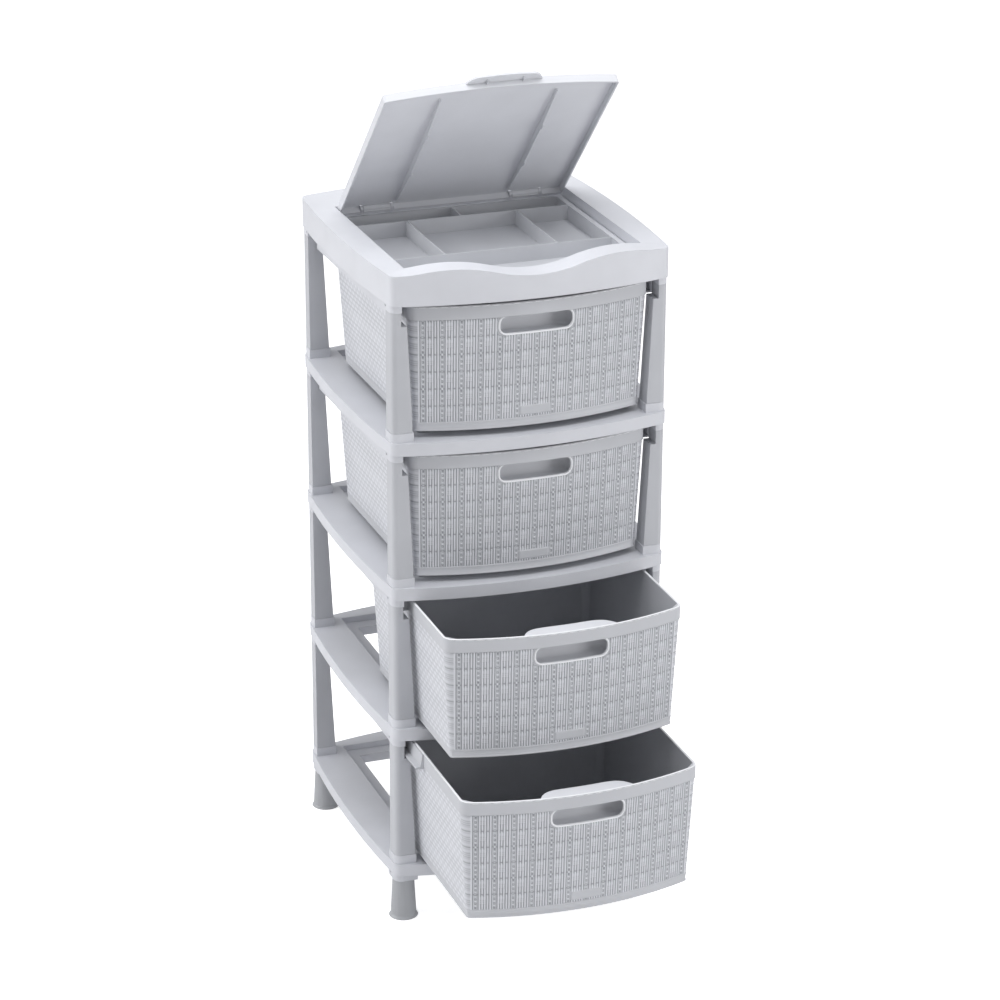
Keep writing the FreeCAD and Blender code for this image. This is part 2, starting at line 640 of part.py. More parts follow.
def foot():
    """Fluted tapered foot with a flare on the floor and a plug on top."""
    top = "base_height - collar_down"
    middle = Vector(value(FOOT_X), value(FOOT_Y), 0)
    sides = int(value("foot_flutes"))

    def ring(radius, height):
        turns = [2 * math.pi * side / sides for side in range(sides)]
        return [middle + Vector(math.cos(turn) * value(radius), math.sin(turn) * value(radius), value(height))
                for turn in turns]

    def flat(points):
        return Part.Face(Part.makePolygon(points + points[:1]))

    rings = [ring("foot_flare_radius", "0"), ring("foot_low_radius", "foot_flare_height"), ring("foot_top_radius", top)]
    faces = [flat(rings[0]), flat(rings[-1])]
    for low, high in zip(rings, rings[1:]):
        faces += [flat([low[side - 1], low[side], high[side], high[side - 1]]) for side in range(sides)]
    shaft = doc.addObject("Part::Feature", "foot_shaft")
    shaft.Shape = Part.Solid(Part.makeShell(faces))
    return fuse("foot_done", shaft, foot_peg("foot_plug", "foot_plug_radius", top, "socket_depth - plug_gap"))


# Drawer

TUB_HALF = "(width / 2 - drawer_inset - band_proud)"
TUB_FRONT = "(depth / 2 - drawer_setback)"
TUB_REAR = "(drawer_length - depth / 2 + drawer_setback)"
TUB_FALL = "(drawer_height - band_height)"
SWEEP = "((%s^2 + drawer_bow^2) / (2 * drawer_bow))" % TUB_HALF


def tub_lean(down, outset, taper="tub_taper"):
    """How far a wall stands outside its place at the lower edge of the band."""
    return "((%s) - %s * (%s) / %s)" % (outset, taper, down, TUB_FALL)


def tub_front(name, down, lean):
    """Level outline with the bowed front and its corners, running past the rear wall.

    Every arc keeps its centre from top to bottom, so the walls between two outlines are exact cones.
    """
    half = "(%s + %s)" % (TUB_HALF, lean)
    corner = "(drawer_round + %s)" % lean
    sweep = "(%s + %s)" % (SWEEP, lean)
    middle = "(%s - (%s - band_proud) - drawer_bow)" % (SWEEP, TUB_FRONT)
    rear = "(%s + overrun)" % TUB_REAR

    edge, back, small, large, centre = (value(text) for text in (half, rear, corner, sweep, middle))
    reach = large - small
    turn = math.asin((edge - small) / reach)
    knee = centre - reach * math.cos(turn)
    low, right, left = -math.pi / 2, 0, math.pi

    def bend(x, y, radius, start, end):
        return Part.ArcOfCircle(Part.Circle(Vector(x, y, 0), Vector(0, 0, 1), radius), start, end)

    def line(x, y, to_x, to_y):
        return Part.LineSegment(Vector(x, y, 0), Vector(to_x, to_y, 0))

    sketch = doc.addObject("Sketcher::SketchObject", name)
    bind(sketch, Placement__Base__z="-drawer_drop - band_height - (%s)" % down)
    sketch.addGeometry([
        bend(0, centre, large, low - turn, low + turn),
        bend(edge - small, knee, small, low + turn, right),
        line(edge, knee, edge, back),
        line(edge, back, -edge, back),
        line(-edge, back, -edge, knee),
        bend(small - edge, knee, small, left, left - low - turn)], False)
    for side, following in ((0, 1), (1, 2), (4, 5), (5, 0)):
        sketch.addConstraint(Sketcher.Constraint("Tangent", side, 2, following, 1))
    for side in (2, 3):
        sketch.addConstraint(Sketcher.Constraint("Coincident", side, 2, side + 1, 1))
    for side, kind in ((2, "Vertical"), (3, "Horizontal"), (4, "Vertical")):
        sketch.addConstraint(Sketcher.Constraint(kind, side))
    sketch.addConstraint(Sketcher.Constraint("PointOnObject", 0, 3, -2))
    measures = [(Sketcher.Constraint("Radius", 0, large), sweep),
                (Sketcher.Constraint("DistanceY", -1, 1, 0, 3, centre), middle),
                (Sketcher.Constraint("DistanceX", -1, 1, 2, 1, edge), half),
                (Sketcher.Constraint("DistanceX", -1, 1, 4, 1, -edge), "-" + half),
                (Sketcher.Constraint("DistanceY", -1, 1, 3, 1, back), rear),
                (Sketcher.Constraint("Radius", 1, small), corner),
                (Sketcher.Constraint("Radius", 5, small), corner)]
    for constraint, text in measures:
        sketch.setExpression("Constraints[%d]" % sketch.addConstraint(constraint), formula(text))
    return sketch


def tub_block(name, upper, lower, outset, taper="tub_taper"):
    """Block between the side and rear walls, rounded at the rear and reaching past the bowed front."""
    low, high = tub_lean(lower, outset, taper), tub_lean(upper, outset, taper)
    block = doc.addObject("Part::Wedge", name)
    block.Placement = Placement(Vector(), Rotation(Vector(1, 0, 0), 90))
    side, rear = TUB_HALF + " + ", TUB_REAR + " - band_proud + "
    ahead = TUB_FRONT + " + drawer_bow + overrun"
    bind(block, Xmin="-(%s)" % (side + low), Xmax=side + low, X2min="-(%s)" % (side + high), X2max=side + high,
         Zmin="-(%s)" % (rear + low), Z2min="-(%s)" % (rear + high), Zmax=ahead, Z2max=ahead,
         Ymin="-drawer_drop - band_height - (%s)" % lower, Ymax="-drawer_drop - band_height - (%s)" % upper)

    def corner(edge):
        at_rear = edge.CenterOfMass.y > 0
        return value("drawer_round + (%s)" % outset) if at_rear and runs_along(edge, Vector(0, 0, 1)) else 0

    return round_edges(name + "_round", block, corner)


def tub(name, upper, lower, outset, taper="tub_taper"):
    """Solid within the drawer's walls between two depths under the band, bowed in front."""
    low, high = tub_lean(lower, outset, taper), tub_lean(upper, outset, taper)
    front = loft(name + "_front", [tub_front(name + "_low", lower, low), tub_front(name + "_high", upper, high)])
    return common(name, front, tub_block(name + "_back", upper, lower, outset, taper))


def cavity():
    """Hollow of a drawer: its bowed front leans like the walls and its front corners are cut off."""
    lower, outset = TUB_FALL + " - drawer_wall", "-drawer_wall"
    block = tub_block("cavity_block", "-band_height - overrun", lower, outset)
    doc.recompute()
    cut_off = doc.addObject("Part::Chamfer", "cavity_corners")
    cut_off.Base = block
    size = value("drawer_bow + overrun + cavity_chamfer + band_proud + drawer_wall")
    cut_off.Edges = [(index, size, size) for index, edge in enumerate(block.Shape.Edges, start=1)
                     if edge.CenterOfMass.y < -value(TUB_FRONT) and runs_along(edge, Vector(0, 0, 1))]
    bend = doc.addObject("Part::Cylinder", "cavity_bend")
    bend.Placement = Placement(Vector(), Rotation(Vector(1, 0, 0), 1))
    slope = "(tub_taper / %s)" % TUB_FALL
    bind(bend, Radius=SWEEP, Height="2 * drawer_height", Placement__Rotation__Angle="atan(%s)" % slope,
         Placement__Base__y="%s - (%s - band_proud - drawer_wall) - drawer_bow + %s * drawer_height"
                            % (SWEEP, TUB_FRONT, slope),
         Placement__Base__z="-drawer_drop - band_height - drawer_height")
    return common("drawer_cavity", cut_off, bend)


def skirt():
    """Left side skirt with an outward foot that slides on the rail."""
    wall = "-" + TUB_HALF
    top, low = "-drawer_drop", "-rail_depth + rail_foot_thick + rail_play"
    corners = [(wall + " + drawer_wall", low), (wall + " + drawer_wall", top), (wall + " - skirt_top", top),
               (wall + " - skirt_low", low + " + skirt_foot_thick * 3 / 2"),
               (wall + " - skirt_foot", low + " + skirt_foot_thick"), (wall + " - skirt_foot", low)]
    profile = outline("skirt_plan", corners[::-1], None, "XZ", TUB_REAR + " - drawer_round")
    length = "%s - drawer_round + %s - skirt_setback" % (TUB_REAR, TUB_FRONT)
    return extrude("skirt", profile, length)


def slot(name):
    """Rounded bar through the front wall, the size of the handle slot."""
    middle = "-drawer_drop - slot_drop"
    bar = box(name + "_box", ("-slot_width / 2", "slot_width / 2"),
              ("-%s - drawer_bow - overrun" % TUB_FRONT, "-%s + drawer_bow" % TUB_FRONT),
              (middle + " - slot_height / 2", middle + " + slot_height / 2"))
    return round_edges(name, bar, lambda edge: value("slot_round") if runs_along(edge, Vector(0, 1, 0)) else 0)


def drawer():
    """Tapered tub with a bowed front, a band round its top, side skirts and a handle slot."""
    body = tub("drawer_body", "0", TUB_FALL, "0")
    band = tub("drawer_band", "-band_height", "0", "band_proud", "0")
    solid = fuse("drawer_solid", body, band, *both_sides(skirt()))
    return cut("drawer_done", solid, cavity(), slot("slot_hole"))


# Assembly

def level(storey):
    """Height of a rim's lower edge: storey 0 is the top frame, 4 the lowest shelf."""
    return "base_height + %d * tier" % (DRAWERS - storey)


def rotate_lid(part):
    part.Placement = Placement(part.Placement.Base, Rotation(Vector(-1, 0, 0), value("open_angle")))
    bind(part, Placement__Rotation__Angle="open_angle")


def assemble():
    node("top_frame", top_frame(), z=level(0))
    node("organizer_tray", organizer_tray(), z=level(0))
    rotate_lid(node("lid", lid(), y="hinge_y", z=level(0) + " + top_height - hinge_drop"))
    for name, side in (("left", "-"), ("right", "")):
        pin = hinge_rod("pin_" + name, "0", PIN_LENGTH, "pin_radius")
        node("hinge_pin_" + name, pin, x="%shinge_x - %s / 2" % (side, PIN_LENGTH), y="hinge_y",
             z=level(0) + " + top_height - hinge_drop")

    upper_shelf = shelf("shelf_over_drawer", True)
    lowest_shelf = shelf("shelf_on_feet", False)
    for number in range(1, DRAWERS):
        node("shelf_%d" % number, upper_shelf, z=level(number))
    node("shelf_%d" % DRAWERS, lowest_shelf, z=level(DRAWERS))

    corners = ("front_left", "front_right", "rear_left", "rear_right")
    for corner, source in zip(corners, four_corners(post())):
        for storey in range(1, DRAWERS + 1):
            node("post_%s_%d" % (corner, storey), source, z=level(storey))
    for corner, source in zip(corners, four_corners(foot())):
        node("foot_" + corner, source)

    tub_solid = drawer()
    pulled = {3: "pulled_3", 4: "pulled_4"}
    for number in range(1, DRAWERS + 1):
        node("drawer_%d" % number, tub_solid, y="-(%s)" % pulled.get(number, "0"), z=level(number - 1))


def check_and_write():
    doc.recompute()
    for thing in doc.Objects:
        if {"Invalid", "Error"} & set(thing.State):
            raise RuntimeError("%s failed: %s" % (thing.Label, thing.State))
    os.makedirs("parts", exist_ok=True)
    for label, part in NODES.items():
        if part.Shape.isNull() or not part.Shape.isValid():
            raise RuntimeError(label + " has no valid shape")
        part.Shape.exportStep("parts/%s.step" % label)
        print("%-22s solids %d  volume %8.1f cm3" % (label, len(part.Shape.Solids), part.Shape.Volume / 1000))


assemble()
check_and_write()
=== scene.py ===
import math

import bpy
import numpy as np
from mathutils import Matrix, Vector


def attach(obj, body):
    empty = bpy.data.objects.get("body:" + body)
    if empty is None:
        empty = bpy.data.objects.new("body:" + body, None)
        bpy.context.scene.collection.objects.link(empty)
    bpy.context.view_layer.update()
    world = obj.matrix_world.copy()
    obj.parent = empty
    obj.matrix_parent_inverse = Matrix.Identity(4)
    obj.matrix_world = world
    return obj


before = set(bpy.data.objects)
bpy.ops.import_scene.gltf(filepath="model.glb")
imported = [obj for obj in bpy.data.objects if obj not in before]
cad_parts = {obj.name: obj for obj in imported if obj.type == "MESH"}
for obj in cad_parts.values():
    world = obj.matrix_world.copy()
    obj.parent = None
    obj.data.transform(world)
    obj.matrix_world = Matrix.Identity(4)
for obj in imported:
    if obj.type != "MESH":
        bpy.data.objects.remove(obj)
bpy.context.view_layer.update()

MM = 0.001


# Materials

# How far the mottling varies the colour, and how strong the grain is
MOTTLE, GRAIN = 0.03, 0.25


def colour_ramp(nodes, low, high):
    """Colour ramp between two stops, each a position and a colour."""
    ramp = nodes.new("ShaderNodeValToRGB")
    for element, (position, colour) in zip(ramp.color_ramp.elements, (low, high)):
        element.position = position
        element.color = (*colour, 1)
    return ramp


def plastic(name, colour, roughness=0.42, edge=0.0012, woven=False):
    """Satin injection-moulded plastic: faint mottling, fine mould grain and soft edges.

    A woven one is darker in the hollows of its relief: painted shade where shadow falls in the grooves.
    """
    material = bpy.data.materials.new(name)
    material.use_nodes = True
    nodes, links = material.node_tree.nodes, material.node_tree.links
    shader = nodes["Principled BSDF"]
    shader.inputs["IOR"].default_value = 1.49
    shader.inputs["Specular IOR Level"].default_value = 0.45
    place = nodes.new("ShaderNodeTexCoord")

    cloud = nodes.new("ShaderNodeTexNoise")
    cloud.inputs["Scale"].default_value = 14.0
    cloud.inputs["Detail"].default_value = 4.0
    links.new(place.outputs["Object"], cloud.inputs["Vector"])
    dark = [channel * (1 - MOTTLE) for channel in colour]
    light = [min(1.0, channel * (1 + MOTTLE)) for channel in colour]
    ramp = colour_ramp(nodes, (0.3, dark), (0.7, light))
    links.new(cloud.outputs["Fac"], ramp.inputs["Fac"])
    base = ramp.outputs["Color"]
    # Painted shade: the relief's height darkens the colour in the hollows of the weave, where shadow falls
    if woven:
        height = nodes.new("ShaderNodeAttribute")
        height.attribute_name = "relief"
        shade = colour_ramp(nodes, (0.12, (0.38, 0.39, 0.4)), (0.8, (1, 1, 1)))
        links.new(height.outputs["Fac"], shade.inputs["Fac"])
        blend = nodes.new("ShaderNodeMix")
        blend.data_type = "RGBA"
        blend.blend_type = "MULTIPLY"
        blend.inputs["Factor"].default_value = 1.0
        links.new(base, blend.inputs["A"])
        links.new(shade.outputs["Color"], blend.inputs["B"])
        base = blend.outputs["Result"]
    links.new(base, shader.inputs["Base Color"])

    gloss = nodes.new("ShaderNodeMapRange")
    gloss.inputs["To Min"].default_value = roughness - 0.05
    gloss.inputs["To Max"].default_value = roughness + 0.06
    links.new(cloud.outputs["Fac"], gloss.inputs["Value"])
    links.new(gloss.outputs["Result"], shader.inputs["Roughness"])

    speckle = nodes.new("ShaderNodeTexNoise")
    speckle.inputs["Scale"].default_value = 900.0
    speckle.inputs["Detail"].default_value = 2.0
    links.new(place.outputs["Object"], speckle.inputs["Vector"])
    bump = nodes.new("ShaderNodeBump")
    bump.inputs["Strength"].default_value = GRAIN
    bump.inputs["Distance"].default_value = 0.00012
    links.new(speckle.outputs["Fac"], bump.inputs["Height"])
    if edge:
        bevel = nodes.new("ShaderNodeBevel")
        bevel.samples = 4
        bevel.inputs["Radius"].default_value = edge
        links.new(bevel.outputs["Normal"], bump.inputs["Normal"])
    links.new(bump.outputs["Normal"], shader.inputs["Normal"])
    return material


FRAME = plastic("frame_plastic", (0.64, 0.65, 0.69))
# Darker than the frame plastic as painted shade: the posts' faces lie in shadow under the shelves and
# pulled-out drawers
POST_SHADED = plastic("post_plastic_painted_shade", (0.515, 0.525, 0.555))
# Darker still as painted shade: the feet stand in shadow under the tower
FOOT_SHADED = plastic("foot_plastic_painted_shade", (0.42, 0.43, 0.45))
TOP = plastic("top_plastic", (0.67, 0.68, 0.72), roughness=0.4)
# A touch lighter than the top frame as painted light, lifting the lid's shaded underside
LID_LIGHTENED = plastic("lid_plastic_painted_light", (0.69, 0.70, 0.735), roughness=0.5)
TRAY = plastic("tray_plastic", (0.62, 0.63, 0.66), roughness=0.45)
# Darker than the frame plastic as painted shade: the drawer bands lie in shadow under the rims above, and
# the insides are dim
TUB_SHADED = plastic("drawer_plastic", (0.545, 0.555, 0.585), roughness=0.44)
# The weave's plastic, whose colour is darkened in the hollows of its relief by painted shade
WEAVE_SHADED = plastic("woven_plastic_painted_shade", (0.73, 0.74, 0.78), edge=0, woven=True)
# Much paler than the drawer plastic as a painted highlight: the top edge and the slot's lip read as lit
# lines
EDGE_HIGHLIGHT = plastic("edge_plastic_painted_highlight", (0.87, 0.88, 0.905), roughness=0.38, edge=0)
PIN = plastic("pin_plastic", (0.52, 0.53, 0.56), roughness=0.35, edge=0.0004)

# Finish of each solid, by the start of its name; the shelf rings have the frame's
FINISHES = {"drawer": TUB_SHADED, "top_frame": TOP, "lid": LID_LIGHTENED, "post": POST_SHADED, "foot": FOOT_SHADED,
            "organizer_tray": TRAY, "hinge_pin": PIN}

for name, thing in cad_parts.items():
    finish = next((material for start, material in FINISHES.items() if name.startswith(start)), FRAME)
    thing.data.materials.clear()
    thing.data.materials.append(finish)


# Sizes of the drawers, in millimetres, as the solids have them

# How far back the tower's own middle lies in the shared frame
SHIFT = 103.0

# Down a drawer: to its top edge, the plain band there, the whole height, and the plain band at its foot
DROP, BAND, HEIGHT, FOOT_BAND = 5.0, 19.0, 180.0, 12.0
FALL = HEIGHT - BAND
WEAVE_FALL = FALL - FOOT_BAND

# The woven wall from above: front corners, rear, half width, bow of the front, and round of the corners
FRONT, REAR, HALF, BOW, ROUND = 193.0, 140.0, 170.5, 30.0, 14.0

# How far the wall leans in by its foot, how far the band stands in front of it, and its thickness
TAPER, BAND_PROUD, WALL = 9.0, 2.0, 2.5

# The handle slot: half width, half height, height of its middle, and round of its corners
SLOT_HALF_X, SLOT_HALF_Z, SLOT_Z, SLOT_ROUND = 52.0, 12.5, -36.0, 10.0

# Height of each drawer's own origin, and how far it stands out
LEVELS = [918.0, 706.0, 494.0, 282.0]
PULLED = [0.0, 0.0, 144.0, 211.0]

# The bowed front: radius, middle of its arc, half angle, and middle of the corner arcs
SWEEP = (HALF ** 2 + BOW ** 2) / (2 * BOW)
MIDDLE = SWEEP - FRONT - BOW
TURN = math.asin((HALF - ROUND) / (SWEEP - ROUND))
KNEE = MIDDLE - (SWEEP - ROUND) * math.cos(TURN)

# The weave on the front: rows one above the other, and columns of upright ribs between beaded cords
ROWS, RIBS = 6, 7
COLUMN, ROW = 26.0, WEAVE_FALL / ROWS
RIB = COLUMN / RIBS
BEAD = ROW / 3.5
ROW_MARKS = (0.03, 0.065, 0.10, 0.2, 0.3, 0.345, 0.39, 0.435, 0.48, 0.525, 0.57, 0.615, 0.66, 0.72,
             0.82, 0.92, 0.96, 1.0)
RIB_RISE = 1.35

# The seam between two rows: its half width as a share of a row, and how much it takes off a rib's height
SEAM_SHARE, SEAM_LEAST, SEAM_MORE = 0.045, 0.12, 0.8

# The cross bars: where they are in a cell, each one's share of a row, their heights and their weight
PATCH_LEFT, PATCH_RIGHT, PATCH_TOP, PATCH_LOW = 0.2, 0.56, 0.14, 0.62
BAR_SHARE, BAR_LOW, BAR_RISE, BAR_WEIGHT = 0.12, 0.1, 1.0, 0.38

# The beaded cord: its reach and half width, how far a bead rises and a gap sinks, and the groove beside it
CORD_REACH, CORD_HALF, BEAD_RISE, GAP_SINK = 2.4, 1.7, 1.55, 0.4
GROOVE_DEPTH, GROOVE_PLACE, GROOVE_HALF = 0.25, 2.0, 0.5

# The strands round the front corners, and the staggered ones on the sides and rear
CORNER_STRANDS, CORNER_LOW, CORNER_RISE = 8, 0.1, 0.7
SIDE_LOW, SIDE_RISE, SIDE_OVER, SIDE_ROUNDNESS = 0.45, 0.25, 0.35, 0.7

# Height of the weave's upper and lower edges, tucked into the wall, and the heights that set the painted
# shade in its hollows
SUNK = -0.35
SHADE_LOW, SHADE_SPAN = -0.2, 1.5

# Room that the weave leaves round the slot for its lip, with more beyond a distance from the middle
SLOT_ROOM, SLOT_END, SLOT_END_ROOM = 2.3, 44.0, 4.8

# Spacing of the points round the tub
RIB_STATIONS = 5
KNEE_STEP, SIDE_STEP, HEEL_STEP = 1.3, 2.4, 2.6
TRIM_STEP, TRIM_CORNER_STEP = 6.0, 1.6


class Plan:
    """Level outline of the tub's outer wall at a depth under the band.

    The arcs of the front keep their middles from top to bottom.
    """

    def __init__(self, down):
        lean = -TAPER * down / FALL
        self.half = HALF + lean
        self.rear = REAR + lean
        self.radius = SWEEP + lean
        self.corner = ROUND + lean

    def front_point(self, share):
        angle = (2 * share - 1) * TURN
        direction = np.array([math.sin(angle), -math.cos(angle)])
        return np.array([0, MIDDLE]) + self.radius * direction, direction

    def knee_point(self, share):
        """On the front right corner."""
        angle = TURN + share * (math.pi / 2 - TURN)
        direction = np.array([math.sin(angle), -math.cos(angle)])
        return np.array([HALF - ROUND, KNEE]) + self.corner * direction, direction

    def side_point(self, share):
        return np.array([self.half, KNEE + share * (self.rear - ROUND - KNEE)]), np.array([1.0, 0.0])

    def heel_point(self, share):
        """On the rear right corner."""
        angle = share * math.pi / 2
        direction = np.array([math.cos(angle), math.sin(angle)])
        return np.array([self.half - ROUND, self.rear - ROUND]) + ROUND * direction, direction

    def rear_point(self, share):
        half = self.half - ROUND
        return np.array([half - share * 2 * half, self.rear]), np.array([0.0, 1.0])

    def at(self, kind, share):
        """Point and outward direction at a share of a stretch; left ones mirror right ones."""
        if kind.startswith("left_"):
            point, direction = self.at(kind.removeprefix("left_"), 1 - share)
            return point * np.array([-1, 1]), direction * np.array([-1, 1])
        return {"front": self.front_point, "knee": self.knee_point, "side": self.side_point,
                "heel": self.heel_point, "rear": self.rear_point}[kind](share)


def under_band(z):
    """Depth under the band of a height in the drawer's own frame, and the other way round."""
    return -DROP - BAND - z


def wall_point(x, z, proud):
    """Point in front of the bowed front wall."""
    radius = Plan(under_band(z)).radius + proud
    return x, MIDDLE - math.sqrt(radius ** 2 - x ** 2), z


def stretch(kind, length, step):
    """Stations evenly along one stretch."""
    count = max(2, round(length / step))
    return [(kind, (index + 0.5) / count) for index in range(count)]


def around():
    """Stretches round the tub from the front left corner: kind, length and spacing of the stations."""
    middle = Plan(WEAVE_FALL / 2)
    knee = (middle.corner * (math.pi / 2 - TURN), KNEE_STEP)
    side = (middle.rear - ROUND - KNEE, SIDE_STEP)
    heel = (ROUND * math.pi / 2, HEEL_STEP)
    return [("front", 2 * middle.radius * TURN, RIB / RIB_STATIONS), ("knee", *knee), ("side", *side),
            ("heel", *heel), ("rear", 2 * (middle.half - ROUND), SIDE_STEP), ("left_heel", *heel),
            ("left_side", *side), ("left_knee", *knee)]


def lattice(columns, rows, closed=False):
    """Faces between neighbouring columns of points; a closed one joins the last column to the first."""
    faces = []
    for index in range(columns if closed else columns - 1):
        here, there = index * rows, (index + 1) % columns * rows
        faces += [(here + row, here + row + 1, there + row + 1, there + row) for row in range(rows - 1)]
    return faces


# Woven relief of the drawers

def depths():
    """Depths of the rows of points, closer together where the relief turns."""
    return np.array([0.0] + [(row + share) * ROW for row in range(ROWS) for share in ROW_MARKS])


def front_relief(along, down, row, seam):
    """Upright ribs, short cross bars in a patch of each cell, and a beaded cord between columns."""
    cell = (along / COLUMN) % 1
    edge = min(cell, 1 - cell) * COLUMN
    rib = 0.5 - 0.5 * math.cos(2 * math.pi * cell * RIBS)
    alternate = 0.5 + 0.5 * math.sin(2 * math.pi * cell * (RIBS / 2))
    height = RIB_RISE * rib * (1 - seam * (SEAM_LEAST + SEAM_MORE * alternate))
    patch = (PATCH_LEFT < cell < PATCH_RIGHT) * ((row > PATCH_TOP) & (row < PATCH_LOW))
    bars = BAR_LOW + BAR_RISE * np.abs(np.sin(math.pi * (row - PATCH_TOP) / BAR_SHARE))
    height = np.where(patch, (1 - BAR_WEIGHT) * height + BAR_WEIGHT * bars, height)
    if edge < CORD_REACH:
        cord = max(0.0, 1 - (edge / CORD_HALF) ** 2)
        bead = 0.5 + 0.5 * np.cos(2 * math.pi * down / BEAD)
        groove = GROOVE_DEPTH * math.exp(-((edge - GROOVE_PLACE) / GROOVE_HALF) ** 2)
        height = height * (1 - cord) / 2 + cord * (BEAD_RISE * bead - GAP_SINK) - groove
    return height


def relief(kind, length, share, down):
    """Height of the moulded weave over the wall, in millimetres, for all the depths."""
    row = (down / ROW) % 1
    seam = np.exp(-((np.minimum(row, 1 - row)) / SEAM_SHARE) ** 2)
    if kind == "front":
        return front_relief((share - 0.5) * length, down, row, seam)
    if kind in ("knee", "left_knee"):
        strands = np.abs(np.sin(math.pi * down / (ROW / CORNER_STRANDS)))
        return CORNER_LOW + CORNER_RISE * strands * (1 - SEAM_MORE * seam)
    strand = np.floor(down / BEAD)
    across = np.abs(np.sin(math.pi * down / BEAD)) ** SIDE_ROUNDNESS
    over = 0.5 + 0.5 * np.cos(2 * math.pi * (share * length) / (BEAD * 2) + math.pi * strand)
    return SIDE_LOW + across * (SIDE_RISE + SIDE_OVER * over)


def inside_slot(x, z, grow):
    """True for a place inside the handle slot, grown by that much all round."""
    dx = max(abs(x) - (SLOT_HALF_X - SLOT_ROUND), 0.0)
    dz = max(abs(z - SLOT_Z) - (SLOT_HALF_Z - SLOT_ROUND), 0.0)
    return math.hypot(dx, dz) < SLOT_ROUND + grow


def woven_skin():
    """The weave all round a drawer, open at the handle slot: points, faces and heights."""
    down = depths()
    top, low = Plan(0.0), Plan(WEAVE_FALL)
    lean = (down / WEAVE_FALL)[:, None]
    stations = [(kind, length, share) for kind, length, step in around()
                for kind, share in stretch(kind, length, step)]
    rows, columns = len(down), len(stations)
    points = np.zeros((columns, rows, 3))
    heights = np.zeros((columns, rows))
    for index, (kind, length, share) in enumerate(stations):
        (top_point, top_way), (low_point, low_way) = top.at(kind, share), low.at(kind, share)
        heights[index] = relief(kind, length, share, down)
        heights[index, [0, -1]] = SUNK
        way = top_way[None] * (1 - lean) + low_way[None] * lean
        base = top_point[None] * (1 - lean) + low_point[None] * lean
        points[index, :, :2] = base + way * heights[index][:, None]
        points[index, :, 2] = under_band(down)
    points = points.reshape(-1, 3)

    def shows(face):
        """False for a face of the front that the slot or its lip takes up."""
        x, y, z = (points[face[0]] + points[face[2]]) / 2
        room = SLOT_END_ROOM if abs(x) > SLOT_END else SLOT_ROOM
        return stations[face[0] // rows][0] != "front" or not inside_slot(x, z, room)

    faces = [face for face in lattice(columns, rows, closed=True) if shows(face)]
    return points, faces, heights.ravel()


# Plain trim of the drawers

def slot_edge():
    """Points and outward directions along the edge of the handle slot, anticlockwise from the right."""
    corner_steps, straight_steps = 8, 12
    reach_x, reach_z = SLOT_HALF_X - SLOT_ROUND, SLOT_HALF_Z - SLOT_ROUND
    edge = []
    for side_x, side_z, quarter in ((1, 1, 0), (-1, 1, 1), (-1, -1, 2), (1, -1, 3)):
        for step in range(corner_steps + 1):
            angle = (quarter + step / corner_steps) * math.pi / 2
            way = (math.cos(angle), math.sin(angle))
            edge.append((side_x * reach_x + SLOT_ROUND * way[0],
                         SLOT_Z + side_z * reach_z + SLOT_ROUND * way[1], *way))
        if side_z == side_x:
            start_x, *rest = edge[-1]
            step_x = -side_x * 2 * reach_x / straight_steps
            edge += [(start_x + step_x * index, *rest) for index in range(1, straight_steps)]
    return edge


def slot_lip():
    """Raised lip round the handle slot, level with the band where it runs over it."""
    profile = [(-0.05, -WALL), (-0.05, 0.6), (0.25, 1.35), (0.9, 1.75), (1.6, 1.65), (2.2, 1.1),
               (2.6, 0.2), (2.7, -0.3)]
    just_behind = 0.05
    edge = slot_edge()
    points = []
    for x, z, way_x, way_z in edge:
        for outward, proud in profile:
            lip_x, lip_z = x + way_x * outward, z + way_z * outward
            band = SWEEP + BAND_PROUD - just_behind
            limit = band - Plan(under_band(lip_z)).radius + lip_x ** 2 / (2 * SWEEP)
            points.append(wall_point(lip_x, lip_z, min(proud, limit)))
    return points, lattice(len(edge), len(profile), closed=True)


def swept(profile, spot):
    """Closed ring round the tub: spot gives the place of each profile point at a station."""
    stations = []
    for kind, length, step in around():
        at_corner = "knee" in kind or "heel" in kind
        stations += stretch(kind, length, TRIM_CORNER_STEP if at_corner else TRIM_STEP)
    points = [spot(kind, share, *numbers) for kind, share in stations for numbers in profile]
    return points, lattice(len(stations), len(profile), closed=True)


def top_edge():
    """Rounded edge along the top of the band, all round."""
    profile = [(-1.5, -5.8), (-1.3, -4.9), (-0.6, -4.45), (0.5, -4.3), (1.4, -4.5), (1.9, -5.1),
               (2.0, -6.2), (1.8, -7.0)]
    plan = Plan(0.0)

    def spot(kind, share, outward, z):
        base, way = plan.at(kind, share)
        return (*(base + way * outward), z)

    return swept(profile, spot)


def foot_band():
    """Plain band round the foot of the tub, with a bead along its lower edge."""
    profile = [(WEAVE_FALL - 1.4, -0.3), (WEAVE_FALL - 0.9, 0.9), (WEAVE_FALL, 1.25),
               (WEAVE_FALL + 0.8, 1.1), (FALL - 3.0, 0.4), (FALL - 2.6, 1.2), (FALL - 1.5, 1.7),
               (FALL - 0.5, 1.3), (FALL - 0.1, -0.2)]

    def spot(kind, share, down, proud):
        base, way = Plan(down).at(kind, share)
        return (*(base + way * proud), under_band(down))

    return swept(profile, spot)


